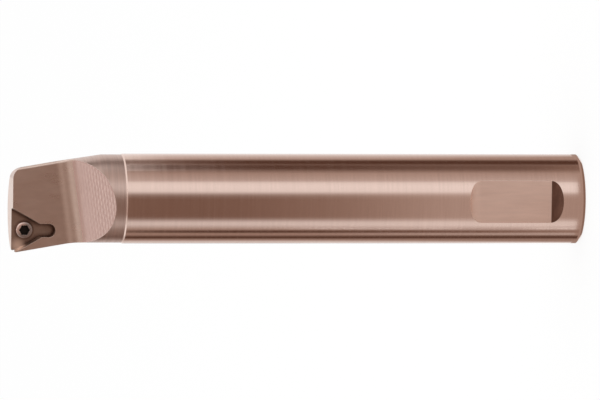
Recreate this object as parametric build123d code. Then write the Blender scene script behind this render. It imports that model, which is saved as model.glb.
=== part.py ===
"""Indexable boring bar: a round steel bar with an offset cutting head, and its insert clamp screw.

The bar stands on its rear face. +Z runs up the shank axis to the head and the origin is the centre
of the rear face. The rake face looks along -Y and the insert nose points along -X.
"""
from build123d import *
import os
from math import cos, radians, sin, tan

os.makedirs("parts", exist_ok=True)

# ---- Bar and shank, mm ----
BAR_LENGTH = 203.2  # front face to rear face, 8 in
SHANK_DIAMETER = 31.75  # ground, 1.25 in
REAR_CHAMFER = 1.0
NECK_DIAMETER = 31.2  # turned part between the head and the shank
SHOULDER_SETBACK = 38.5  # front face to where the ground shank starts
SHOULDER_CHAMFER = 0.5  # length of the step's chamfer along the axis

# ---- Flat for the holder's set screws ----
FLAT_SETBACK = 12.5  # rear face to the flat's floor
FLAT_LENGTH = 25.05
FLAT_DEPTH = 1.87
FLAT_CUTTER_RADIUS = 6.0  # of the round run-out at each end

# ---- Head ----
HEAD_DIAMETER = 29.45
HEAD_TILT = 9.75  # the head's axis leans towards the nose
HEAD_PIVOT = 25.4  # front face to where the two axes cross
BLEND_SETBACK = 19.0  # front face to where the head starts to blend into the neck
BLEND_LENGTH = 12.2  # length of that blend along the shank axis
BACK_CORNER_RADIUS = 4.4  # corner of the front face, away from the nose
NOSE_CORNER_CHAMFER = 0.9  # corner of the front face at the nose

# ---- Rake face and chip gullet ----
GULLET_SETBACK = 21.0  # front face to where the ramp would meet the rake face
GULLET_TILT = 8.2  # the cut's line leans towards the nose, as the head does
RAMP_ANGLE = 49.4  # between the ramp and the rake face
GULLET_RADIUS = 9.5  # cutter's corner radius between rake face and ramp

# ---- Insert seat, for a triangular insert with side relief ----
INSERT_CIRCLE = 9.525  # diameter of the insert's inscribed circle
INSERT_THICKNESS = 3.97
INSERT_RELIEF = 7.0  # lean of the insert's sides
INSERT_OVERHANG = 0.41  # the cutting edge stands this far ahead of the front face
INSERT_OFFSET = 11.6  # shank axis to the insert's centre, towards the nose
WALL_CLEARANCE = 0.18  # between the insert's edge and the rim of the seat
CORNER_SLOT_DIAMETER = 4.75  # relief for the insert's inner corner
CORNER_SLOT_INSET = 1.0  # insert's inner corner to the centre of the slot's round end

# ---- Clamp screw ----
SCREW_DIAMETER = 4.0
SCREW_HEAD_DIAMETER = 5.8
SCREW_RIM_HEIGHT = 0.25  # straight edge of the head above its cone
SCREW_CONE_ANGLE = 60.0  # included angle
SCREW_THREAD_LENGTH = 8.0
SCREW_END_CHAMFER = 0.5
SCREW_HEAD_BEVEL = 0.25
SCREW_PULL = 0.22  # the screw stands this much nearer the back wall, to pull the insert against it
SCREW_CLEARANCE = 0.04  # between the thread and its hole, on the radius
SCREW_SEAT_GAP = 0.05  # left under the cone
SOCKET_LOBE_DIAMETER = 3.35  # across the six lobes
SOCKET_ROOT_DIAMETER = 2.4  # across the six hollows between them
SOCKET_FLUTE_RADIUS = 0.55
SOCKET_DEPTH = 1.3
SOCKET_LOBES = 6

# ---- Sizes that follow ----
SHANK_RADIUS = SHANK_DIAMETER / 2
NECK_RADIUS = NECK_DIAMETER / 2
HEAD_RADIUS = HEAD_DIAMETER / 2
TILT = radians(HEAD_TILT)
BLEND_END = BLEND_SETBACK + BLEND_LENGTH
INSERT_SETBACK = INSERT_CIRCLE / 2 - INSERT_OVERHANG  # front face to the insert's centre
INSERT_CORNER = radians(60)
SCREW_SETBACK = INSERT_SETBACK + SCREW_PULL * sin(INSERT_CORNER / 2)
SCREW_OFFSET = INSERT_OFFSET - SCREW_PULL * cos(INSERT_CORNER / 2)
CORNER_SLOT_SETBACK = INSERT_SETBACK + INSERT_CIRCLE - CORNER_SLOT_INSET
SCREW_CONE_HEIGHT = (SCREW_HEAD_DIAMETER - SCREW_DIAMETER) / 2 / tan(radians(SCREW_CONE_ANGLE / 2))
SCREW_HEAD_HEIGHT = SCREW_RIM_HEIGHT + SCREW_CONE_HEIGHT
REACH = 2 * SHANK_DIAMETER  # longer than any cut across the bar

# Sketches on the head use this plane: local x runs back from the front face, local y points away
# from the nose, and local z comes out of the rake face.
RAKE_PLANE = Plane(origin=(0, 0, BAR_LENGTH), x_dir=(0, 0, -1), z_dir=(0, -1, 0))


def head_point(back, across, out=0.0):
    """A point given by its distances on the rake plane."""
    return Vector(across, -out, BAR_LENGTH - back)


def head_axis_offset(back):
    """How far the tilted axis lies from the shank axis, at a distance behind the front face."""
    return (back - HEAD_PIVOT) * tan(TILT)


def shank():
    """Turned shank and neck, up to where the neck blends into the head."""
    shoulder = BAR_LENGTH - SHOULDER_SETBACK
    neck_end = BAR_LENGTH - BLEND_END
    outline = Polyline(
        (0, 0, 0),
        (SHANK_RADIUS - REAR_CHAMFER, 0, 0),
        (SHANK_RADIUS, 0, REAR_CHAMFER),
        (SHANK_RADIUS, 0, shoulder - SHOULDER_CHAMFER),
        (NECK_RADIUS, 0, shoulder),
        (NECK_RADIUS, 0, neck_end),
        (0, 0, neck_end),
        close=True,
    )
    return revolve(make_face(outline), Axis.Z)


def head_blank():
    """Tilted round head, and the loft that joins it to the neck."""
    start = Plane(
        origin=head_point(BLEND_SETBACK, head_axis_offset(BLEND_SETBACK)),
        x_dir=(0, 1, 0),
        z_dir=(-sin(TILT), 0, cos(TILT)),
    )
    end = Plane(origin=(0, 0, BAR_LENGTH - BLEND_END), x_dir=(0, 1, 0), z_dir=(0, 0, 1))
    blend = loft([end * Circle(NECK_RADIUS), start * Circle(HEAD_RADIUS)], ruled=True)
    length = BLEND_SETBACK / cos(TILT) + HEAD_RADIUS
    return blend + extrude(start * Circle(HEAD_RADIUS), amount=length)


def front_cut():
    """Everything ahead of the front face."""
    plane = Plane(origin=(0, 0, BAR_LENGTH), z_dir=(0, 0, 1))
    return extrude(plane * Rectangle(REACH, REACH), amount=REACH)


def back_corner_cut():
    """Rounds the front face's corner on the side away from the nose."""
    radius = BACK_CORNER_RADIUS
    edge = head_axis_offset(0) + HEAD_RADIUS / cos(TILT)  # where front face and head's side meet
    centre_across = edge + radius * tan(TILT) - radius / cos(TILT)
    middle = radius * Vector(-cos(TILT / 2 + radians(45)), sin(TILT / 2 + radians(45)))
    side = radius * Vector(-sin(TILT), cos(TILT))
    centre = Vector(radius, centre_across)
    arc = ThreePointArc(centre - Vector(radius, 0), centre + middle, centre + side)
    beyond = centre + side * 3
    outside = Polyline(arc @ 1, beyond, (-radius, beyond.Y), (-radius, centre_across), arc @ 0)
    return extrude(RAKE_PLANE * make_face(arc + outside), amount=REACH, both=True)


def nose_corner_cut():
    """Bevels the front face's corner under the insert's nose."""
    edge = head_axis_offset(0) - HEAD_RADIUS / cos(TILT)
    chamfer = NOSE_CORNER_CHAMFER
    corner = Polygon(
        (-chamfer, edge + 2 * chamfer),
        (2 * chamfer, edge - chamfer),
        (-chamfer, edge - chamfer),
        align=None,
    )
    return extrude(RAKE_PLANE * corner, amount=REACH, both=True)


def gullet_cut():
    """Everything above the rake face, its concave run-out and the ramp."""
    tilt = radians(GULLET_TILT)
    along = Vector(-sin(tilt), 0, cos(tilt))
    across = Vector(cos(tilt), 0, sin(tilt))
    plane = Plane(origin=head_point(GULLET_SETBACK, 0), x_dir=along, z_dir=across)
    # Local x runs forward, square to the cut's line, and local y comes out of the rake face.
    slope = radians(RAMP_ANGLE)
    tangent = GULLET_RADIUS * tan(slope / 2)
    low = Vector(tangent, 0)
    high = Vector(-tangent * cos(slope), tangent * sin(slope))
    middle = Vector(tangent - GULLET_RADIUS * sin(slope / 2), GULLET_RADIUS * (1 - cos(slope / 2)))
    top = Vector(-REACH * cos(slope), REACH * sin(slope))
    arc = ThreePointArc(low, middle, high)
    outside = Polyline(high, top, (REACH, top.Y), (REACH, 0), low)
    return extrude(plane * make_face(arc + outside), amount=REACH, both=True)


def seat_outline(rim_distance, height):
    """Triangle of the seat's walls at a height above its floor; its two far corners lie in the open."""
    half_corner = INSERT_CORNER / 2
    far = 4 * INSERT_CIRCLE
    tip = Vector(INSERT_SETBACK + rim_distance / sin(half_corner), -INSERT_OFFSET)
    run = Vector(-far * cos(half_corner), far * sin(half_corner))
    triangle = Polygon(tip, tip + run, tip + Vector(run.X, -run.Y), align=None)
    return RAKE_PLANE.offset(height - INSERT_THICKNESS) * triangle


def seat_cut():
    """Insert seat with leaning walls, the slot that frees the insert's inner corner, and the screw hole."""
    lean = tan(radians(INSERT_RELIEF))
    rim = INSERT_CIRCLE / 2 + WALL_CLEARANCE
    rise = 2 * INSERT_THICKNESS
    walls = loft(
        [
            seat_outline(rim - INSERT_THICKNESS * lean, 0),
            seat_outline(rim + (rise - INSERT_THICKNESS) * lean, rise),
        ],
        ruled=True,
    )
    floor = RAKE_PLANE.offset(-INSERT_THICKNESS)
    length = CORNER_SLOT_SETBACK - INSERT_SETBACK
    slot = Pos(INSERT_SETBACK + length / 2, -SCREW_OFFSET) * Rectangle(length, CORNER_SLOT_DIAMETER)
    slot += Pos(CORNER_SLOT_SETBACK, -SCREW_OFFSET) * Circle(CORNER_SLOT_DIAMETER / 2)
    hole = Pos(SCREW_SETBACK, -SCREW_OFFSET) * Circle(SCREW_DIAMETER / 2 + SCREW_CLEARANCE)
    return walls + extrude(floor * slot, amount=rise) + extrude(floor * hole, amount=-REACH)


def set_screw_flat_cut():
    """Milled flat near the rear end, with the cutter's round run-out at each end."""
    floor = FLAT_DEPTH - SHANK_RADIUS
    middle = FLAT_SETBACK + FLAT_LENGTH / 2
    outline = Pos(floor - FLAT_CUTTER_RADIUS, middle) * SlotCenterToCenter(
        FLAT_LENGTH, 2 * FLAT_CUTTER_RADIUS, rotation=90
    )
    return extrude(Plane.YZ * outline, amount=SHANK_DIAMETER, both=True)


def bar_body():
    """The bar, one piece of steel."""
    body = shank() + head_blank()
    for cut in (front_cut(), back_corner_cut(), nose_corner_cut(), gullet_cut(), seat_cut()):
        body -= cut
    return body - set_screw_flat_cut()


def socket_outline():
    """Six-lobed outline of the screw's socket."""
    outline = Circle(SOCKET_LOBE_DIAMETER / 2)
    flute_distance = SOCKET_ROOT_DIAMETER / 2 + SOCKET_FLUTE_RADIUS
    return outline - PolarLocations(flute_distance, SOCKET_LOBES) * Circle(SOCKET_FLUTE_RADIUS)


def clamp_screw():
    """Countersunk clamp screw, turned down into the empty seat; its thread is a plain cylinder."""
    head_radius = SCREW_HEAD_DIAMETER / 2
    thread_radius = SCREW_DIAMETER / 2
    thread_end = -SCREW_HEAD_HEIGHT - SCREW_THREAD_LENGTH
    outline = Polyline(
        (0, 0, 0),
        (head_radius - SCREW_HEAD_BEVEL, 0, 0),
        (head_radius, 0, -SCREW_HEAD_BEVEL / 2),
        (head_radius, 0, -SCREW_RIM_HEIGHT),
        (thread_radius, 0, -SCREW_HEAD_HEIGHT),
        (thread_radius, 0, thread_end + SCREW_END_CHAMFER),
        (thread_radius - SCREW_END_CHAMFER, 0, thread_end),
        (0, 0, thread_end),
        close=True,
    )
    screw = revolve(make_face(outline), Axis.Z) - extrude(socket_outline(), amount=-SOCKET_DEPTH)
    top = SCREW_HEAD_HEIGHT + SCREW_SEAT_GAP - INSERT_THICKNESS
    seat = Plane(
        origin=head_point(SCREW_SETBACK, -SCREW_OFFSET, top), x_dir=(0, 0, -1), z_dir=(0, -1, 0)
    )
    return seat * screw


export_step(bar_body(), "parts/bar_body.step")
export_step(clamp_screw(), "parts/clamp_screw.step")
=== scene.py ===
"""Boring bar standing on its rear face. The camera is rolled, so it lies across the picture, head at left.

Lengths are millimetres until a piece is finished, then metres. A place on the head is given by how far it
lies behind the front face, how far across from the shank axis (positive away from the nose), and how far out
of the rake face.
"""
from math import cos, pi, radians, sin, tan

import bmesh
import bpy
from mathutils import Matrix, Quaternion, Vector


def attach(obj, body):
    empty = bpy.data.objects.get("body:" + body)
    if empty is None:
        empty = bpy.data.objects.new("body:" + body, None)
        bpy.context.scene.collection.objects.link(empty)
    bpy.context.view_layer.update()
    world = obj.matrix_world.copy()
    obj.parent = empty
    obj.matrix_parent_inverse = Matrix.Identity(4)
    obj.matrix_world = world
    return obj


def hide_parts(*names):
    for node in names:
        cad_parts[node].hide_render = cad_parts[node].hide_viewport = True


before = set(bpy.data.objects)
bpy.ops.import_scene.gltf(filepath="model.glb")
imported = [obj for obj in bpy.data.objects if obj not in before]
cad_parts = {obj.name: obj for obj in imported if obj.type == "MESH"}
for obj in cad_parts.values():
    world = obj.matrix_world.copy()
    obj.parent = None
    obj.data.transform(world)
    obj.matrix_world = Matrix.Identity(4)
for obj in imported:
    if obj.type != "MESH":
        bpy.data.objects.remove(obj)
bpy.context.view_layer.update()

MM = 0.001

# ---- Sizes of the bar, as the CAD model has them ----
BAR_LENGTH = 203.2
SHANK_RADIUS = 15.875
REAR_CHAMFER = 1.0
NECK_RADIUS = 15.6
SHOULDER_SETBACK = 38.5
SHOULDER_CHAMFER = 0.5  # length along the axis, half of it to each side of that place
FLAT_SETBACK = 12.5
FLAT_LENGTH = 25.05
FLAT_DEPTH = 1.87
FLAT_CUTTER_RADIUS = 6.0
HEAD_RADIUS = 14.725
TILT = radians(9.75)
HEAD_PIVOT = 25.4
BLEND_SETBACK = 19.0
BLEND_LENGTH = 12.2
BACK_CORNER_RADIUS = 4.4
NOSE_CORNER_CHAMFER = 0.9
GULLET_SETBACK = 21.0
GULLET_TILT = radians(8.2)
RAMP_ANGLE = radians(49.4)
GULLET_RADIUS = 9.5
INSERT_CIRCLE = 9.525
INSERT_THICKNESS = 3.97
INSERT_RELIEF = radians(7)
INSERT_OVERHANG = 0.41
INSERT_OFFSET = 11.6
WALL_CLEARANCE = 0.18
CORNER_SLOT_RADIUS = 2.375
CORNER_SLOT_INSET = 1.0
SCREW_RADIUS = 2.0
SCREW_HEAD_RADIUS = 2.9
SCREW_RIM_HEIGHT = 0.25
SCREW_CONE = radians(30)
SCREW_THREAD_LENGTH = 8.0
SCREW_END_CHAMFER = 0.5
SCREW_PULL = 0.22
SCREW_CLEARANCE = 0.04
SCREW_SEAT_GAP = 0.05
SOCKET_DEPTH = 1.3
SOCKET_LOBES = 6

# ---- Sizes that follow ----
BLEND_END = BLEND_SETBACK + BLEND_LENGTH
INSERT_SETBACK = INSERT_CIRCLE / 2 - INSERT_OVERHANG
HALF_CORNER = radians(30)
SCREW_SETBACK = INSERT_SETBACK + SCREW_PULL * sin(HALF_CORNER)
SCREW_OFFSET = INSERT_OFFSET - SCREW_PULL * cos(HALF_CORNER)
SCREW_HEAD_HEIGHT = SCREW_RIM_HEIGHT + (SCREW_HEAD_RADIUS - SCREW_RADIUS) / tan(SCREW_CONE)
REACH = 60.0  # longer than any cut across the bar

# ---- Detail that only the picture needs ----
RING_POINTS = 288  # round the bar
FRONT_EXCESS = 8.0  # the head's blank stands this far out past the front face
BEND_SHARE = 0.2  # the blend's bend into the head starts this share of the way back to the neck
BEND_LEAD = 3.0  # and it ends this far up the head
BEND_STEPS = 8
CORNER_STEPS = 20
GULLET_STEPS = 40
RAMP_MARGIN = radians(12)  # the top of the run-out, this close to the ramp's angle, has the ramp's finish
SCALLOPS = 15  # milling marks on the ramp, one above the other
SCALLOP_START = 0.3
SCALLOP_PITCH = 1.3  # along the slope
SCALLOPS_FAINT = 6  # marks near the foot of the ramp that are still growing
SCALLOP_FIRST = 0.1  # share of the depth that the lowest mark has
SCALLOP_DEPTH = 0.042
SCALLOP_UNEVEN = 0.35  # share of the depth that comes and goes along a mark
SCALLOP_BEAT = (2.6, 2.3)  # how it does: radians per mm along, radians per mark
SCALLOP_SKIN = 0.004  # how far the ridges between the marks lie below the plain ramp
SCALLOP_STEPS = 6  # facets across a mark
SCALLOP_ROWS = 140  # facets along a mark
SCALLOP_CLEAR = 1.0  # the marks' cutter stands this far out of the ramp
RIDGE_WAVERS = ((0.16, 1.3, 1.7), (0.12, 3.1, 2.9))  # size, radians per mm along, radians per ridge
HALF_RAMP = 20.0  # the marks are cut this far to each side of the shank axis
EDGE_BREAK = 0.9  # radius of the rake face's rounded edge
EDGE_BREAK_STEPS = 10
EDGE_BREAK_RISES = 14.8  # behind the front face, where that edge starts up the run-out
EDGE_BREAK_FADE = (  # behind the front face, share of the radius
    (-2, 1), (EDGE_BREAK_RISES, 1), (16, 1), (17, 0.95), (18, 0.85),
    (19, 0.75), (20, 0.65), (21, 0.5), (22, 0.1),
)
EDGE_BREAK_ASIDE = 1  # its cutter stands this far out of the head's side
EDGE_BREAK_ABOVE = 0.3  # and this far out of the rake face
SLOT_STEPS = 32
HOLE_POINTS = 48
FLAT_STEPS = 32  # along each of the flat's round ends
RUN_OUT_LEAN = 0.03  # faces of the flat that look up the bar by more than this are its run-out, coloured dark as painted shade
SCREW_POINTS = 96
SCREW_RIM_DROP = 0.1  # the drawn head's straight edge ends this much lower than the CAD model's
SCREW_CROWN_WIDTH = 0.75
SCREW_CROWN_DROP = 0.3
SCREW_CROWN_STEPS = 8
SOCKET_ENTRY_RADIUS = 1.7
SOCKET_ENTRY_WIDTH = 0.4
SOCKET_ENTRY_DEPTH = 0.3
SOCKET_LOBE_RADIUS = 1.95  # wider than the CAD model's 1.675, so that the socket reads at this scale
SOCKET_ROOT_RADIUS = 1.5  # CAD model: 1.2
SOCKET_POINTS = 144
MATERIAL_MARGIN = 0.05  # a face of the socket's entry lies at least this far inside its rim
HEAD_ZONE = 0.5  # and less than this below the screw's top
SHARP_ANGLE = radians(22)

# ---- Finishes ----
NOISE_LOW = 0.25  # the noise lies between these values nearly everywhere
NOISE_HIGH = 0.75
GLOSS_STRETCH = 0.37  # the gloss varies more slowly than the colour
QUARTER_TURN = 0.25
EDGE_SAMPLES = 6
CORNER_SAMPLES = 8
CORNER_OPEN = 0.45  # share of open air at which the painted corner shade is darkest
HIGHLIGHT_CORE = 0.3  # share of a painted highlight's reach that is fully bright
HIGHLIGHT_REACH = 0.0036
NOSE_HIGHLIGHT_PLACE = (2.2, -16.8, -2.5)  # place on the head of the painted highlight at the nose
# place on the head of the painted highlight on the screw's ring
SCREW_HIGHLIGHT_PLACE = (SCREW_SETBACK - 2.2, 1.3 - SCREW_OFFSET, -2.2)
CORNER_REACH = 0.0016

# ---- Studio, metres ----
FLOOR_REACH = 6
FLOOR_PAINT = 0.92
FLOOR_WHITE = 0.85  # share of plain white in what the camera sees of the floor
CARD_DISTANCE = 0.6
CARD_NEAR = 0.004  # from the bar to a card's near edge
CARD_GAP = 0.0005  # between layers of cards
CARD_STRIP = 1.5  # degrees
CARD_RED = 0.77  # powers of a card's level; the level itself is the green
CARD_BLUE = 1.13
FOOT_LEVEL = -0.0014  # its layer lifts the foot card from here to 0.1 mm above the floor
CAMERA_TURN = 4.49  # degrees from -Y; a card's edges start where the bar reflects them to the camera
CAMERA_BACK = (0.0785, -1, 0.1667)  # from the bar towards the camera
CAMERA_ROLL = radians(0.033)  # besides the quarter turn
CAMERA_AIM = (-0.5, 0, 100.5)  # row frame, millimetres
CAMERA_DISTANCE = 2.85
CAMERA_LENS = 481.5
CAMERA_SENSOR = 36
CAMERA_CLIP = (0.1, 20)


def head_point(back, across, out=0.0):
    """Point of the row frame, in millimetres, from a place on the head."""
    return Vector((across, -out, BAR_LENGTH - back))


# ---------------------------------------------------------------- mesh helpers


def new_object(name, points, faces):
    mesh = bpy.data.meshes.new(name)
    mesh.from_pydata([tuple(p) for p in points], [], faces)
    mesh.update()
    piece = bpy.data.objects.new(name, mesh)
    bpy.context.scene.collection.objects.link(piece)
    return piece


def tube(name, rings):
    """Closed skin over rings that have equally many points."""
    count = len(rings[0])
    points = [p for ring in rings for p in ring]
    faces = [tuple(reversed(range(count)))]
    for k in range(len(rings) - 1):
        low, high = k * count, (k + 1) * count
        for i in range(count):
            j = (i + 1) % count
            faces.append((low + i, low + j, high + j, high + i))
    last = (len(rings) - 1) * count
    faces.append(tuple(range(last, last + count)))
    piece = new_object(name, points, faces)
    face_out(piece)
    return piece


def face_out(piece):
    bm = bmesh.new()
    bm.from_mesh(piece.data)
    bmesh.ops.recalc_face_normals(bm, faces=bm.faces)
    bm.to_mesh(piece.data)
    bm.free()


def split_faces(piece):
    """Cuts every face into triangles."""
    bm = bmesh.new()
    bm.from_mesh(piece.data)
    bmesh.ops.triangulate(bm, faces=bm.faces)
    bm.to_mesh(piece.data)
    bm.free()


def cut(body, cutter, material):
    """Takes the cutter's solid out of the body; the new faces get the cutter's material."""
    cutter.data.materials.append(material)
    step = body.modifiers.new("cut", "BOOLEAN")
    step.operation = "DIFFERENCE"
    step.solver = "EXACT"
    step.material_mode = "TRANSFER"
    step.object = cutter
    graph = bpy.context.evaluated_depsgraph_get()
    mesh = bpy.data.meshes.new_from_object(body.evaluated_get(graph), depsgraph=graph)
    body.modifiers.clear()
    old, body.data = body.data, mesh
    bpy.data.meshes.remove(old)
    spent = cutter.data
    bpy.data.objects.remove(cutter)
    bpy.data.meshes.remove(spent)


def arc(centre, radius, start, end, steps):
    """Points of an arc in a plane, as (x, y) pairs."""
    turns = [start + (end - start) * i / steps for i in range(steps + 1)]
    return [(centre[0] + radius * cos(t), centre[1] + radius * sin(t)) for t in turns]


def prism(name, outline, place, low, high):
    """Solid with a flat outline: place(x, y, height) gives the row frame's point."""
    rings = [[place(x, y, height) for x, y in outline] for height in (low, high)]
    return tube(name, rings)


# ---------------------------------------------------------------- bar


def ring(centre, tilt, radius):
    """Circle square to an axis that leans by tilt towards the nose."""
    side = Vector((cos(tilt), 0, sin(tilt)))
    turns = [2 * pi * (i + 0.5) / RING_POINTS for i in range(RING_POINTS)]
    return [centre + radius * (cos(t) * side + sin(t) * Vector((0, 1, 0))) for t in turns]


def head_ring(back):
    """Circle of the leaning head whose centre lies this far behind the front face."""
    return ring(head_point(back, (back - HEAD_PIVOT) * tan(TILT)), TILT, HEAD_RADIUS)


def between(first, second, share):
    """Ring that lies this share of the way from one ring to another."""
    return [p.lerp(q, share) for p, q in zip(first, second)]


def blank():
    """Shank, neck and leaning head before any face is cut."""
    shoulder = BAR_LENGTH - SHOULDER_SETBACK
    turned = [
        (0, SHANK_RADIUS - REAR_CHAMFER),
        (REAR_CHAMFER, SHANK_RADIUS),
        (shoulder - SHOULDER_CHAMFER / 2, SHANK_RADIUS),
        (shoulder + SHOULDER_CHAMFER / 2, NECK_RADIUS),
        (BAR_LENGTH - BLEND_END, NECK_RADIUS),
    ]
    rings = [ring(Vector((0, 0, z)), 0, radius) for z, radius in turned]
    start, ahead = head_ring(BLEND_SETBACK), head_ring(BLEND_SETBACK - BEND_LEAD)
    behind = between(start, rings[-1], BEND_SHARE)
    for k in range(BEND_STEPS + 1):
        share = k / BEND_STEPS
        rings.append(between(between(behind, start, share), between(start, ahead, share), share))
    rings.append(head_ring(-FRONT_EXCESS))
    body = tube("boring_bar", rings)
    body.data.materials.append(steel["ground"])
    body.data.materials.append(steel["turned"])
    for face in body.data.polygons:
        face.material_index = int(face.center.z > shoulder + SHOULDER_CHAMFER / 2)
    return body


def cut_front(body):
    """Front face, square to the shank axis."""
    def place(x, y, z):
        return Vector((x, y, z))
    outline = [(-REACH, -REACH), (REACH, -REACH), (REACH, REACH), (-REACH, REACH)]
    cut(body, prism("front", outline, place, BAR_LENGTH, BAR_LENGTH + REACH), steel["face"])


def cut_front_corners(body):
    """Round corner away from the nose and small bevel at the nose."""
    radius, middle = BACK_CORNER_RADIUS, -HEAD_PIVOT * tan(TILT)
    edge = middle + HEAD_RADIUS / cos(TILT)
    centre = (radius, edge + radius * tan(TILT) - radius / cos(TILT))
    outline = arc(centre, radius, pi, pi / 2 + TILT, CORNER_STEPS)
    clear = 3 * radius
    top = centre[1] + clear
    outline += [(centre[0] - clear * sin(TILT), top), (-radius, top), (-radius, centre[1])]
    cut(body, prism("corner", outline, head_point, -REACH, REACH), steel["turned"])
    edge, chamfer = middle - HEAD_RADIUS / cos(TILT), NOSE_CORNER_CHAMFER
    outline = [(-chamfer, edge + 2 * chamfer), (2 * chamfer, edge - chamfer), (-chamfer, edge - chamfer)]
    cut(body, prism("corner", outline, head_point, -REACH, REACH), steel["face"])


def on_slope(distance, sink):
    """Point of the gullet's section: this far up the ramp from the rake face's line, and sunk this deep."""
    return (-distance * cos(RAMP_ANGLE) - sink * sin(RAMP_ANGLE),
            distance * sin(RAMP_ANGLE) - sink * cos(RAMP_ANGLE))


def scallop_edge(mark, aside):
    """Distance up the slope of a ridge between two milling marks; each ridge wavers in its own way."""
    waver = 0
    for size, per_mm, per_ridge in RIDGE_WAVERS:
        waver += size * sin(per_mm * aside + per_ridge * mark)
    return SCALLOP_START + mark * SCALLOP_PITCH + (waver if mark else 0)


def scallop_depth(mark, aside):
    """Depth of a milling mark: faint near the foot of the ramp, uneven along the mark."""
    growth = min(1, SCALLOP_FIRST + mark / SCALLOPS_FAINT)
    per_mm, per_mark = SCALLOP_BEAT
    evenness = 1 - SCALLOP_UNEVEN + SCALLOP_UNEVEN * sin(per_mm * aside + per_mark * mark)
    return SCALLOP_DEPTH * growth * evenness


def scallop_outline(tangent, aside):
    """Section of the milling marks' cutter, at one place across the ramp."""
    foot = tangent + SCALLOP_START
    outline = [on_slope(foot, -SCALLOP_CLEAR), on_slope(foot, SCALLOP_SKIN)]
    for mark in range(SCALLOPS):
        start = tangent + scallop_edge(mark, aside)
        end = tangent + scallop_edge(mark + 1, aside)
        depth = scallop_depth(mark, aside)
        for step in range(1, SCALLOP_STEPS + 1):
            share = step / SCALLOP_STEPS
            sink = SCALLOP_SKIN + depth * 4 * share * (1 - share)
            outline.append(on_slope(start + (end - start) * share, sink))
    outline.append(on_slope(foot + (SCALLOPS + 1) * SCALLOP_PITCH, -SCALLOP_CLEAR))
    return outline


def cut_gullet(body):
    """Rake face, its concave run-out, and the ramp with its milling scallops."""
    foot = head_point(GULLET_SETBACK, 0)
    along = Vector((-sin(GULLET_TILT), 0, cos(GULLET_TILT)))
    across = Vector((cos(GULLET_TILT), 0, sin(GULLET_TILT)))

    def place(x, y, height):
        return foot + x * along - Vector((0, y, 0)) + height * across

    tangent = GULLET_RADIUS * tan(RAMP_ANGLE / 2)
    centre = (tangent, GULLET_RADIUS)
    outline = [(REACH, 0)] + arc(centre, GULLET_RADIUS, -pi / 2, -pi / 2 - RAMP_ANGLE, GULLET_STEPS)
    outline += [on_slope(REACH, 0), (REACH, REACH * sin(RAMP_ANGLE))]
    cut(body, prism("gullet", outline, place, -REACH, REACH), steel["milled"])
    rings = []
    for k in range(SCALLOP_ROWS + 1):
        aside = HALF_RAMP * (2 * k / SCALLOP_ROWS - 1)
        rings.append([place(x, y, aside) for x, y in scallop_outline(tangent, aside)])
    cutter = tube("scallops", rings)
    split_faces(cutter)
    cut(body, cutter, steel["ramp"])
    milled, ramp = (body.data.materials.find(name) for name in ("milled_steel", "ramp_steel"))
    for face in body.data.polygons:
        if face.material_index == milled and face.normal.z > sin(RAMP_ANGLE - RAMP_MARGIN):
            face.material_index = ramp


def cut_edge_break(body):
    """Rounds the rake face's long edge away from the nose; the rounding dies out as the run-out rises."""
    side = Vector((cos(TILT), 0, sin(TILT)))
    edge = HEAD_RADIUS / cos(TILT) - HEAD_PIVOT * tan(TILT)
    rings = []
    for back, share in EDGE_BREAK_FADE:
        radius = EDGE_BREAK * share
        ahead = max(0, back - EDGE_BREAK_RISES)
        rise = GULLET_RADIUS - (GULLET_RADIUS ** 2 - ahead ** 2) ** 0.5
        corner = head_point(back, edge + back * tan(TILT) - rise ** 2 / (2 * HEAD_RADIUS), rise)
        outline = arc((-radius, -radius), radius, pi / 2, 0, EDGE_BREAK_STEPS)
        outline += [(EDGE_BREAK_ASIDE, -radius), (EDGE_BREAK_ASIDE, EDGE_BREAK_ABOVE)]
        outline.append((-radius, EDGE_BREAK_ABOVE))
        rings.append([corner + u * side - Vector((0, v, 0)) for u, v in outline])
    cut(body, tube("edge_break", rings), steel["broken"])


def cut_seat(body):
    """Triangular seat with leaning walls, the slot at its inner corner, and the screw hole."""
    floor, top = -INSERT_THICKNESS, INSERT_THICKNESS
    far = 4 * INSERT_CIRCLE
    rings = []
    for height in (floor, top):
        distance = INSERT_CIRCLE / 2 + WALL_CLEARANCE + height * tan(INSERT_RELIEF)
        tip = (INSERT_SETBACK + distance / sin(HALF_CORNER), -INSERT_OFFSET)
        run = (far * cos(HALF_CORNER), far * sin(HALF_CORNER))
        corners = [tip, (tip[0] - run[0], tip[1] + run[1]), (tip[0] - run[0], tip[1] - run[1])]
        rings.append([head_point(x, y, height) for x, y in corners])
    cut(body, tube("seat", rings), steel["seat"])
    end = INSERT_SETBACK + INSERT_CIRCLE - CORNER_SLOT_INSET
    outline = arc((end, -SCREW_OFFSET), CORNER_SLOT_RADIUS, -pi / 2, pi / 2, SLOT_STEPS)
    for half_width in (CORNER_SLOT_RADIUS, -CORNER_SLOT_RADIUS):
        outline.append((INSERT_SETBACK, half_width - SCREW_OFFSET))
    cut(body, prism("slot", outline, head_point, floor, top), steel["seat"])
    last = HOLE_POINTS - 1
    centre = (SCREW_SETBACK, -SCREW_OFFSET)
    outline = arc(centre, SCREW_RADIUS + SCREW_CLEARANCE, 0, 2 * pi * last / HOLE_POINTS, last)
    cut(body, prism("hole", outline, head_point, -REACH, top), steel["seat"])


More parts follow.
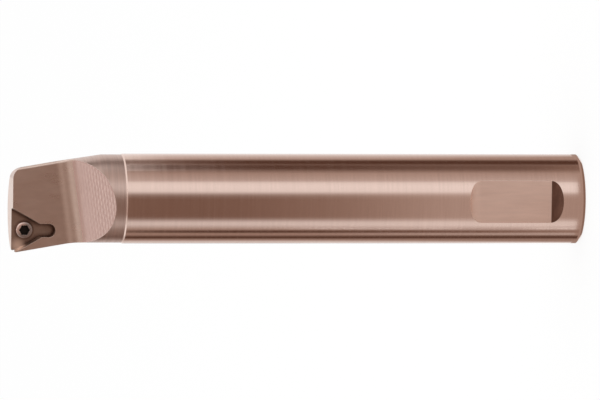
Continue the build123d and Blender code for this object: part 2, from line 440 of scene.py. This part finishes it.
def cut_flat(body):
    """Set-screw flat with the cutter's round run-out at each end; the run-out gets a dark colour that is
    painted shade.
    """
    radius = FLAT_CUTTER_RADIUS
    level = radius + SHANK_RADIUS - FLAT_DEPTH

    def place(y, z, x):
        return Vector((x, y, z))

    outline = arc((-level, FLAT_SETBACK), radius, -pi, 0, 2 * FLAT_STEPS)[FLAT_STEPS:]
    outline += arc((-level, FLAT_SETBACK + FLAT_LENGTH), radius, 0, pi, 2 * FLAT_STEPS)[:FLAT_STEPS + 1]
    cut(body, prism("flat", outline, place, -REACH, REACH), steel["flat"])
    flat = body.data.materials.find("flat_steel")
    # The run-out's faces get the dark colour, which is painted shade.
    body.data.materials.append(steel["run_out"])
    for face in body.data.polygons:
        if face.material_index == flat and face.normal.z > RUN_OUT_LEAN:
            face.material_index = len(body.data.materials) - 1


def make_bar():
    body = blank()
    cut_front(body)
    cut_front_corners(body)
    cut_gullet(body)
    cut_edge_break(body)
    cut_seat(body)
    cut_flat(body)
    return body


# ---------------------------------------------------------------- clamp screw


def make_screw():
    """Countersunk screw with a six-lobed socket, turned down into the empty seat."""
    profile = [(SOCKET_ENTRY_RADIUS - SOCKET_ENTRY_WIDTH, -SOCKET_ENTRY_DEPTH), (SOCKET_ENTRY_RADIUS, 0)]
    for k in range(SCREW_CROWN_STEPS + 1):
        turn = pi / 2 * k / SCREW_CROWN_STEPS
        radius = SCREW_HEAD_RADIUS - SCREW_CROWN_WIDTH * (1 - sin(turn))
        profile.append((radius, -SCREW_CROWN_DROP * (1 - cos(turn))))
    profile += [
        (SCREW_HEAD_RADIUS, -SCREW_RIM_HEIGHT - SCREW_RIM_DROP),
        (SCREW_RADIUS, -SCREW_HEAD_HEIGHT),
        (SCREW_RADIUS, -SCREW_HEAD_HEIGHT - SCREW_THREAD_LENGTH + SCREW_END_CHAMFER),
        (SCREW_RADIUS - SCREW_END_CHAMFER, -SCREW_HEAD_HEIGHT - SCREW_THREAD_LENGTH),
    ]
    top = SCREW_HEAD_HEIGHT + SCREW_SEAT_GAP - INSERT_THICKNESS
    turns = [2 * pi * i / SCREW_POINTS for i in range(SCREW_POINTS)]
    rings = [
        [head_point(SCREW_SETBACK + r * cos(t), -SCREW_OFFSET + r * sin(t), top + h) for t in turns]
        for r, h in profile
    ]
    screw = tube("insert_screw", rings)
    screw.data.materials.append(steel["screw"])
    screw.data.materials.append(steel["socket"])
    # The socket's faces get the near-black colour, which is painted shade.
    for face in screw.data.polygons:
        reach = face.center - head_point(SCREW_SETBACK, -SCREW_OFFSET, top)
        inside = Vector((reach.x, 0, reach.z)).length < SOCKET_ENTRY_RADIUS - MATERIAL_MARGIN
        face.material_index = int(inside and reach.y < HEAD_ZONE)
    middle = (SOCKET_LOBE_RADIUS + SOCKET_ROOT_RADIUS) / 2
    swing = (SOCKET_LOBE_RADIUS - SOCKET_ROOT_RADIUS) / 2
    outline = []
    for i in range(SOCKET_POINTS):
        t = 2 * pi * i / SOCKET_POINTS
        r = middle + swing * cos(SOCKET_LOBES * t)
        outline.append((SCREW_SETBACK + r * cos(t), -SCREW_OFFSET + r * sin(t)))
    cut(screw, prism("socket", outline, head_point, top - SOCKET_DEPTH, top + 1), steel["socket"])
    return screw


# ---------------------------------------------------------------- materials


def add_noise(material, stretch, detail, low, high):
    """Noise over the object's own coordinates, stretched per axis; gives values from low to high."""
    nodes, links = material.node_tree.nodes, material.node_tree.links
    place = nodes.new("ShaderNodeTexCoord")
    scale = nodes.new("ShaderNodeMapping")
    scale.inputs["Scale"].default_value = stretch
    noise = nodes.new("ShaderNodeTexNoise")
    noise.inputs["Scale"].default_value = 1
    noise.inputs["Detail"].default_value = detail
    spread = nodes.new("ShaderNodeMapRange")
    spread.inputs["From Min"].default_value = NOISE_LOW
    spread.inputs["From Max"].default_value = NOISE_HIGH
    spread.inputs["To Min"].default_value = low
    spread.inputs["To Max"].default_value = high
    links.new(place.outputs["Object"], scale.inputs["Vector"])
    links.new(scale.outputs["Vector"], noise.inputs["Vector"])
    links.new(noise.outputs["Fac"], spread.inputs["Value"])
    return spread.outputs["Result"]


def steel_finish(name, color, roughness, stretch, tint=0.05, rough=0.04, bump=1e-7, detail=3.0,
                 anisotropic=0.0, turned=False, edge=0.00015):
    """Metal whose colour, gloss and height vary a little along the marks of its machining.

    Tint is a share of the colour, rough is added to and taken off the roughness; bump is the marks' height
    and edge the radius that worn edges seem to have, both in metres. Turned marks run round the bar.
    """
    material = bpy.data.materials.new(name)
    material.use_nodes = True
    nodes, links = material.node_tree.nodes, material.node_tree.links
    shader = nodes["Principled BSDF"]
    shader.inputs["Metallic"].default_value = 1
    shader.inputs["Anisotropic"].default_value = anisotropic
    marks = add_noise(material, stretch, detail, 0, 1)
    blend = nodes.new("ShaderNodeMix")
    blend.data_type = "RGBA"
    blend.inputs["A"].default_value = (*[c * (1 - tint) for c in color], 1)
    blend.inputs["B"].default_value = (*[c * (1 + tint) for c in color], 1)
    links.new(marks, blend.inputs["Factor"])
    links.new(blend.outputs["Result"], shader.inputs["Base Color"])
    slower = [v * GLOSS_STRETCH for v in stretch]
    gloss = add_noise(material, slower, 1, roughness - rough, roughness + rough)
    links.new(gloss, shader.inputs["Roughness"])
    if turned:
        around = nodes.new("ShaderNodeTangent")
        around.direction_type = "RADIAL"
        around.axis = "Z"
        links.new(around.outputs["Tangent"], shader.inputs["Tangent"])
        shader.inputs["Anisotropic Rotation"].default_value = QUARTER_TURN
    worn = nodes.new("ShaderNodeBevel")
    worn.samples = EDGE_SAMPLES
    worn.inputs["Radius"].default_value = edge
    relief = nodes.new("ShaderNodeBump")
    relief.inputs["Strength"].default_value = 1
    relief.inputs["Distance"].default_value = bump
    links.new(marks, relief.inputs["Height"])
    links.new(worn.outputs["Normal"], relief.inputs["Normal"])
    links.new(relief.outputs["Normal"], shader.inputs["Normal"])
    return material


def blend_in(material, amount, color):
    """Mixes a colour into the metal's own: all of it where the amount is 0, none of it where it is 1."""
    nodes, links = material.node_tree.nodes, material.node_tree.links
    base = nodes["Principled BSDF"].inputs["Base Color"]
    plain = base.links[0].from_socket
    blend = nodes.new("ShaderNodeMix")
    blend.data_type = "RGBA"
    blend.inputs["A"].default_value = (*color, 1)
    links.new(amount, blend.inputs["Factor"])
    links.new(plain, blend.inputs["B"])
    links.new(blend.outputs["Result"], base)


def paint_highlight(material, place, color):
    """Painted highlight: brighter colour round one place on the head."""
    nodes, links = material.node_tree.nodes, material.node_tree.links
    here = nodes.new("ShaderNodeTexCoord")
    away = nodes.new("ShaderNodeVectorMath")
    away.operation = "DISTANCE"
    away.inputs[1].default_value = head_point(*place) * MM
    spread = nodes.new("ShaderNodeMapRange")
    spread.interpolation_type = "SMOOTHSTEP"
    spread.inputs["From Min"].default_value = HIGHLIGHT_CORE * HIGHLIGHT_REACH
    spread.inputs["From Max"].default_value = HIGHLIGHT_REACH
    links.new(here.outputs["Object"], away.inputs[0])
    links.new(away.outputs["Value"], spread.inputs["Value"])
    blend_in(material, spread.outputs["Result"], color)


def paint_corner_shade(material, color):
    """Paints shade into the metal's colour where it is shut in by its neighbours."""
    nodes, links = material.node_tree.nodes, material.node_tree.links
    open_air = nodes.new("ShaderNodeAmbientOcclusion")
    open_air.samples = CORNER_SAMPLES
    open_air.inputs["Distance"].default_value = CORNER_REACH
    spread = nodes.new("ShaderNodeMapRange")
    spread.inputs["From Min"].default_value = CORNER_OPEN
    spread.inputs["From Max"].default_value = 1.0
    links.new(open_air.outputs["AO"], spread.inputs["Value"])
    blend_in(material, spread.outputs["Result"], color)


STEEL = (0.76, 0.60, 0.525)
GROUND = (0.795, 0.60, 0.525)
NECK = (0.605, 0.448, 0.392)
RAMP = (0.75, 0.56, 0.515)
FLAT = (0.93, 0.72, 0.63)
# Seat colour darker than the steel: painted shade of the recess.
SEAT = (0.39, 0.275, 0.22)
# Dark colour of the flat's run-out: painted shade on its steep face.
RUN_OUT_PAINTED_SHADE = (0.21, 0.115, 0.085)
SCREW = (0.43, 0.355, 0.33)
# Near-black colour of the socket: painted shade in the hole.
SOCKET = (0.03, 0.025, 0.022)
# Colour of the painted shade in the seat's corners.
SEAT_CORNER_SHADE = (0.06, 0.024, 0.014)
# Colour of the painted highlight at the nose.
NOSE_HIGHLIGHT = (0.9, 0.7, 0.59)
# Colour of the painted highlight on the screw head's upper side.
SCREW_HIGHLIGHT = (0.95, 0.72, 0.65)
FACE_SHADE = 0.93
steel = {
    "ground": steel_finish("ground_steel", GROUND, 0.14, (60, 60, 2400), 0.04, 0.02, 2e-7, detail=1,
                           anisotropic=0.4, turned=True, edge=0.00005),
    "turned": steel_finish("turned_steel", NECK, 0.36, (60, 60, 2200), 0.09, 0.04, 4e-7, detail=1,
                           anisotropic=0.3, turned=True, edge=0.0003),
    "face": steel_finish("faced_steel", [FACE_SHADE * c for c in STEEL], 0.35, (600, 600, 600), 0.04, 0.05),
    "milled": steel_finish("milled_steel", STEEL, 0.29, (700, 300, 250), 0.04, 0.03, 3e-7),
    "broken": steel_finish("edge_steel", STEEL, 0.33, (400, 400, 400), 0.04, 0.04),
    "ramp": steel_finish("ramp_steel", RAMP, 0.23, (350, 900, 900), 0.04, 0.04, 1e-6, detail=2, edge=0.0006),
    "flat": steel_finish("flat_steel", FLAT, 0.48, (900, 300, 120), 0.04, 0.05, 3e-7),
    "run_out": steel_finish("run_out_painted_shade", RUN_OUT_PAINTED_SHADE, 0.42, (300, 300, 900), 0.2, 0.05),
    "seat": steel_finish("seat_painted_shade", SEAT, 0.4, (500, 500, 500), 0.08, 0.05),
    "screw": steel_finish("screw_finish", SCREW, 0.33, (900, 900, 900), 0.08, 0.05),
    "socket": steel_finish("socket_painted_shade", SOCKET, 0.5, (900, 900, 900), 0.08, 0.06),
}
# Painted shade in the seat's corners.
paint_corner_shade(steel["seat"], SEAT_CORNER_SHADE)
# Painted highlight at the nose, on the seat and the rake.
for finish in ("seat", "milled"):
    paint_highlight(steel[finish], NOSE_HIGHLIGHT_PLACE, NOSE_HIGHLIGHT)
# Painted highlight on the screw's head.
paint_highlight(steel["screw"], SCREW_HIGHLIGHT_PLACE, SCREW_HIGHLIGHT)


# ---------------------------------------------------------------- finishing a piece


def finish_piece(piece, replaced):
    """Metres, shading and body; hides the CAD part that it replaces."""
    piece.data.transform(Matrix.Scale(MM, 4))
    for face in piece.data.polygons:
        face.use_smooth = True
    piece.data.set_sharp_from_angle(angle=SHARP_ANGLE)
    even = piece.modifiers.new("even_faces", "WEIGHTED_NORMAL")
    even.keep_sharp = True
    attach(piece, "root")
    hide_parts(replaced)


bar = make_bar()
finish_piece(bar, "bar_body")
screw = make_screw()
finish_piece(screw, "clamp_screw")

# ---------------------------------------------------------------- stage


def add_math(nodes, operation):
    step = nodes.new("ShaderNodeMath")
    step.operation = operation
    return step


def make_floor():
    """Pale floor that keeps the bar's shadow, lifted to white where the camera or a gloss sees it."""
    corners = [(x * FLOOR_REACH, y * FLOOR_REACH, 0) for x, y in ((-1, -1), (1, -1), (1, 1), (-1, 1))]
    floor = new_object("floor", corners, [(0, 1, 2, 3)])
    material = bpy.data.materials.new("pale_floor")
    material.use_nodes = True
    nodes, links = material.node_tree.nodes, material.node_tree.links
    nodes.clear()
    paint = nodes.new("ShaderNodeBsdfDiffuse")
    paint.inputs["Color"].default_value = (FLOOR_PAINT, FLOOR_PAINT, FLOOR_PAINT, 1)
    white = nodes.new("ShaderNodeEmission")
    white.inputs["Color"].default_value = (1, 1, 1, 1)
    path = nodes.new("ShaderNodeLightPath")
    seen = add_math(nodes, "ADD")
    gloss = add_math(nodes, "ADD")
    share = add_math(nodes, "MULTIPLY")
    share.inputs[1].default_value = FLOOR_WHITE
    share.use_clamp = True
    mix = nodes.new("ShaderNodeMixShader")
    out = nodes.new("ShaderNodeOutputMaterial")
    links.new(path.outputs["Is Glossy Ray"], gloss.inputs[0])
    links.new(path.outputs["Is Transmission Ray"], gloss.inputs[1])
    links.new(path.outputs["Is Camera Ray"], seen.inputs[0])
    links.new(gloss.outputs["Value"], seen.inputs[1])
    links.new(seen.outputs["Value"], share.inputs[0])
    links.new(share.outputs["Value"], mix.inputs["Fac"])
    links.new(paint.outputs["BSDF"], mix.inputs[1])
    links.new(white.outputs["Emission"], mix.inputs[2])
    links.new(mix.outputs["Shader"], out.inputs["Surface"])
    floor.data.materials.append(material)


def make_world():
    world = bpy.data.worlds.new("studio")
    bpy.context.scene.world = world
    world.use_nodes = True
    background = world.node_tree.nodes["Background"]
    background.inputs["Color"].default_value = (1, 1, 1, 1)
    background.inputs["Strength"].default_value = 1.0


def make_lamp(name, place, target, width, height, watts):
    lamp = bpy.data.lights.new(name, "AREA")
    lamp.shape, lamp.size, lamp.size_y, lamp.energy = "RECTANGLE", width, height, watts
    holder = bpy.data.objects.new(name, lamp)
    bpy.context.scene.collection.objects.link(holder)
    holder.location = place
    holder.rotation_euler = (Vector(target) - Vector(place)).to_track_quat("-Z", "Y").to_euler()


def shade(level):
    """Colour of a warm card: the deeper its shade, the warmer."""
    return (level ** CARD_RED, level, level ** CARD_BLUE, 1)


def make_card(name, layer, sides, rows, level):
    """Curved studio card round the bar, seen only in reflections.

    Sides are (azimuth, cover) in degrees, 0 towards -Y and 90 towards +X; rows are (distance, height,
    share of the level, cover) from the bar outwards and up. The two covers are multiplied, and above 1 they
    count as 1. A higher layer stands in front of a lower one.
    """
    first, last = sides[0][0], sides[-1][0]
    count = max(2, round((last - first) / CARD_STRIP))
    points, covers, colors = [], [], []
    for i in range(count + 1):
        turn = first + (last - first) * i / count
        side = blend_rows(sides, turn)
        out = Vector((sin(radians(turn)), -cos(radians(turn)), 0))
        facing = radians(turn + CAMERA_TURN) / 2
        start = SHANK_RADIUS * MM * Vector((sin(facing), -cos(facing), 0))
        for distance, height, share, cover in rows:
            lift = Vector((0, 0, height + CARD_GAP * (1 + layer)))
            points.append(start + (distance - CARD_GAP * layer) * out + lift)
            covers.append(side * cover)
            colors.extend(shade(level * share))
    size = len(rows)
    faces = [(i * size + k, (i + 1) * size + k, (i + 1) * size + k + 1, i * size + k + 1)
             for i in range(count) for k in range(size - 1)]
    card = new_object(name, points, faces)
    card.data.attributes.new("cover", "FLOAT", "POINT").data.foreach_set("value", covers)
    card.data.attributes.new("glow", "FLOAT_COLOR", "POINT").data.foreach_set("color", colors)
    material = bpy.data.materials.new(name)
    material.use_nodes = True
    nodes, links = material.node_tree.nodes, material.node_tree.links
    nodes.clear()
    glow_color, cover_value = nodes.new("ShaderNodeAttribute"), nodes.new("ShaderNodeAttribute")
    glow_color.attribute_name, cover_value.attribute_name = "glow", "cover"
    glow, clear = nodes.new("ShaderNodeEmission"), nodes.new("ShaderNodeBsdfTransparent")
    mix, out = nodes.new("ShaderNodeMixShader"), nodes.new("ShaderNodeOutputMaterial")
    links.new(glow_color.outputs["Color"], glow.inputs["Color"])
    links.new(cover_value.outputs["Fac"], mix.inputs["Fac"])
    links.new(clear.outputs["BSDF"], mix.inputs[1])
    links.new(glow.outputs["Emission"], mix.inputs[2])
    links.new(mix.outputs["Shader"], out.inputs["Surface"])
    card.data.materials.append(material)
    card.visible_camera = card.visible_diffuse = card.visible_shadow = False
    card.visible_transmission = card.visible_volume_scatter = False


def blend_rows(table, place):
    """Value at a place between the rows of a (place, value) table."""
    for (low, start), (high, end) in zip(table, table[1:]):
        if place <= high:
            return start + (end - start) * max(0, (place - low) / (high - low))
    return table[-1][1]


def card_rows(floor, wall):
    """Rows of a card from its parts: floor (distance, share, cover), then wall (height, share, cover)."""
    rows = [(distance, 0, share, cover) for distance, share, cover in floor]
    return rows + [(CARD_DISTANCE, height, share, cover) for height, share, cover in wall]


def lid_rows(height):
    """Rows of a flat, round card above the bar."""
    return [(0.0, height, 1.0, 1), (0.5, height, 1.0, 1), (0.75, height, 1.0, 0)]


def make_cards():
    """Warm cards that give the steel its bands; white studio shows between them."""
    near = CARD_NEAR
    top = [(0, 1.0, 1), (0.28, 1.0, 1), (0.42, 1.0, 0)]
    even = card_rows([(near, 1.0, 1)], top)
    thinner = card_rows([(near, 1.0, 0.72), (0.1, 1.0, 0.75), (0.35, 1.0, 0.85)], top)
    fuller = card_rows([(near, 1.0, 2.0), (0.1, 1.0, 1.6), (0.35, 1.0, 1.2)], top)
    low = card_rows([(near, 1.0, 1)], [(0, 1.0, 1), (0.06, 1.0, 1), (0.14, 1.0, 0)])
    line = card_rows([(near, 4.0, 1), (0.2, 2.2, 1)], [(0, 1.0, 1), (0.06, 0.6, 1), (0.1, 0.7, 0)])
    front = card_rows([(near, 1.65, 1), (0.26, 1.95, 1), (0.33, 1.65, 1), (0.47, 1.1, 1)],
                      [(0, 0.85, 1), (0.04, 0.58, 1), (0.06, 0.52, 1), (0.09, 0.75, 1), (0.22, 0.95, 1),
                       (0.3, 1.75, 1), (0.38, 1.75, 1), (0.52, 0.9, 1), (0.62, 0.95, 1), (0.72, 1.7, 1),
                       (0.9, 2.1, 1)])
    middle = card_rows([(near, 1.1, 1), (0.35, 1.1, 1)],
                       [(0, 1.0, 1), (0.075, 0.8, 1), (0.1, 2.1, 1), (0.28, 2.1, 1), (0.42, 2.1, 0)])
    cropped = card_rows([(near, 1.0, 1.6), (0.1, 1.0, 1.4), (0.35, 1.0, 1.05)],
                        [(0, 1.0, 1), (0.06, 1.0, 1), (0.08, 1.0, 0.1), (0.1, 1.0, 0)])
    short = card_rows([(near, 2.5, 0.8), (0.1, 1.2, 0.8), (0.35, 1.0, 0.82)],
                      [(0, 1.0, 1), (0.075, 1.0, 1), (0.09, 1.0, 0)])
    tall = card_rows([(near, 1.0, 1)],
                     [(0, 1.0, 1), (0.045, 1.0, 1), (0.062, 1.8, 0.9), (0.076, 2.0, 0.5), (0.095, 1.0, 1),
                      (0.3, 1.0, 1), (0.4, 1.0, 0)])
    foot = [(distance, FOOT_LEVEL, share, 1)
            for distance, share in ((-0.003, 1), (0.003, 1), (0.0035, 1.8), (0.015, 1.8))]
    make_card("front_card", 0, [(-82, 0), (-72, 0.3), (-60, 0.32), (-49, 0.9), (-43, 1), (3, 1), (9, 0.94),
                                (14, 0.82), (23, 0.1), (40, 0)], front, 0.215)
    make_card("upper_card", 0, [(34, 0), (43, 0.12), (46, 0.22), (51, 0.72), (57, 0.82), (70, 0.97),
                                (80, 1)], middle, 0.335)
    make_card("upper_back_card", 0, [(80, 1), (112, 1), (128, 0.9), (172, 0)], cropped, 0.35)
    make_card("upper_flag", 1, [(72, 0), (86, 0.9), (90, 1), (98, 1), (103, 0.75)], short, 0.05)
    make_card("upper_back_flag", 1, [(103, 0.75), (108, 1), (118, 1), (129, 0)], tall, 0.05)
    make_card("lower_card", 0, [(-105, 1), (-85, 1), (-79, 0.85), (-74, 0.5), (-67, 0)], thinner, 0.28)
    make_card("lower_back_card", 0, [(-165, 0), (-147, 0.35), (-134, 0.75), (-128, 1), (-105, 1)],
              fuller, 0.28)
    make_card("lower_line", 1, [(-97, 0), (-94, 1), (-88, 1), (-83, 0)], line, 0.06)
    make_card("lower_flag", 1, [(-130, 0), (-124, 0.35), (-118, 1), (-113, 1), (-103, 0)], even, 0.05)
    make_card("back_card", 0, [(172, 0), (180, 1), (200, 1), (208, 0)], low, 0.25)
    make_card("ceiling_card", 0, [(-180, 1), (180, 1)], lid_rows(1.0), 0.85)
    make_card("ceiling_flag", 0, [(-115, 0), (-85, 1), (85, 1), (115, 0)], lid_rows(0.99), 0.45)
    # A card's near edge turns half as fast as its sides, so the foot card takes two turns to close.
    make_card("foot_card", 2, [(-360 - CAMERA_TURN, 1), (360 - CAMERA_TURN, 1)], foot, 0.2)


def make_camera():
    """Long lens, a little above the bar's middle and to its right, rolled a quarter turn."""
    back = Vector(CAMERA_BACK).normalized()
    right = Vector((0, 0, -1))
    right = (right - right.dot(back) * back).normalized()
    right.rotate(Quaternion(back, CAMERA_ROLL))
    up = back.cross(right)
    aim = Vector(CAMERA_AIM) * MM
    camera = bpy.data.cameras.new("camera")
    camera.lens, camera.sensor_width = CAMERA_LENS, CAMERA_SENSOR
    holder = bpy.data.objects.new("camera", camera)
    bpy.context.scene.collection.objects.link(holder)
    turn = Matrix((right, up, back)).transposed().to_4x4()
    holder.matrix_world = Matrix.Translation(aim + CAMERA_DISTANCE * back) @ turn
    camera.clip_start, camera.clip_end = CAMERA_CLIP
    bpy.context.scene.camera = holder


make_floor()
make_world()
make_lamp("top_light", place=(0, 0, 1.4), target=(0, 0, 0), width=1.2, height=1.2, watts=3)
make_cards()
make_camera()
bpy.context.scene.view_settings.view_transform = "Standard"
